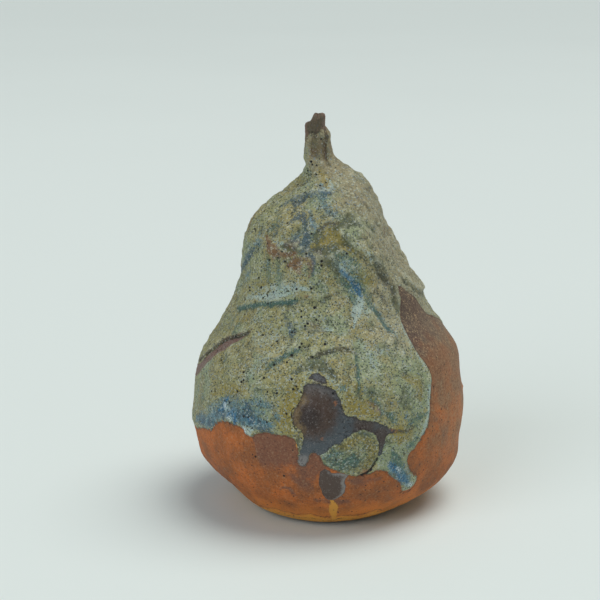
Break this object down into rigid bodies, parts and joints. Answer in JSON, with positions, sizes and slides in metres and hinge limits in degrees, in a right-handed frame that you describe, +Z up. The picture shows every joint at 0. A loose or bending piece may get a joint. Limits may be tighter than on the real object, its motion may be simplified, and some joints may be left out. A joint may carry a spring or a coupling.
{
  "type": "ceramic pear",
  "caption": "Hand-built stoneware pear with a clay stem, partly covered by a run ash glaze, standing on a small flat foot.",
  "frame": {"origin": "bottom centre of the outline box, on the ground under the pear's flat foot", "axes": "+Z up towards the stem; the glazed front with the dark run patch faces -Y; +X is the pear's right as seen from the front"},
  "size_m": [0.1002, 0.0986, 0.144],
  "materials": {
    "glazed_stoneware": "khaki and blue run ash glaze over the upper two thirds, satin; bare orange-brown iron stoneware below, matte"
  },
  "bodies": {
    "root": {"pear": "glazed_stoneware"}
  },
  "joints": []
}
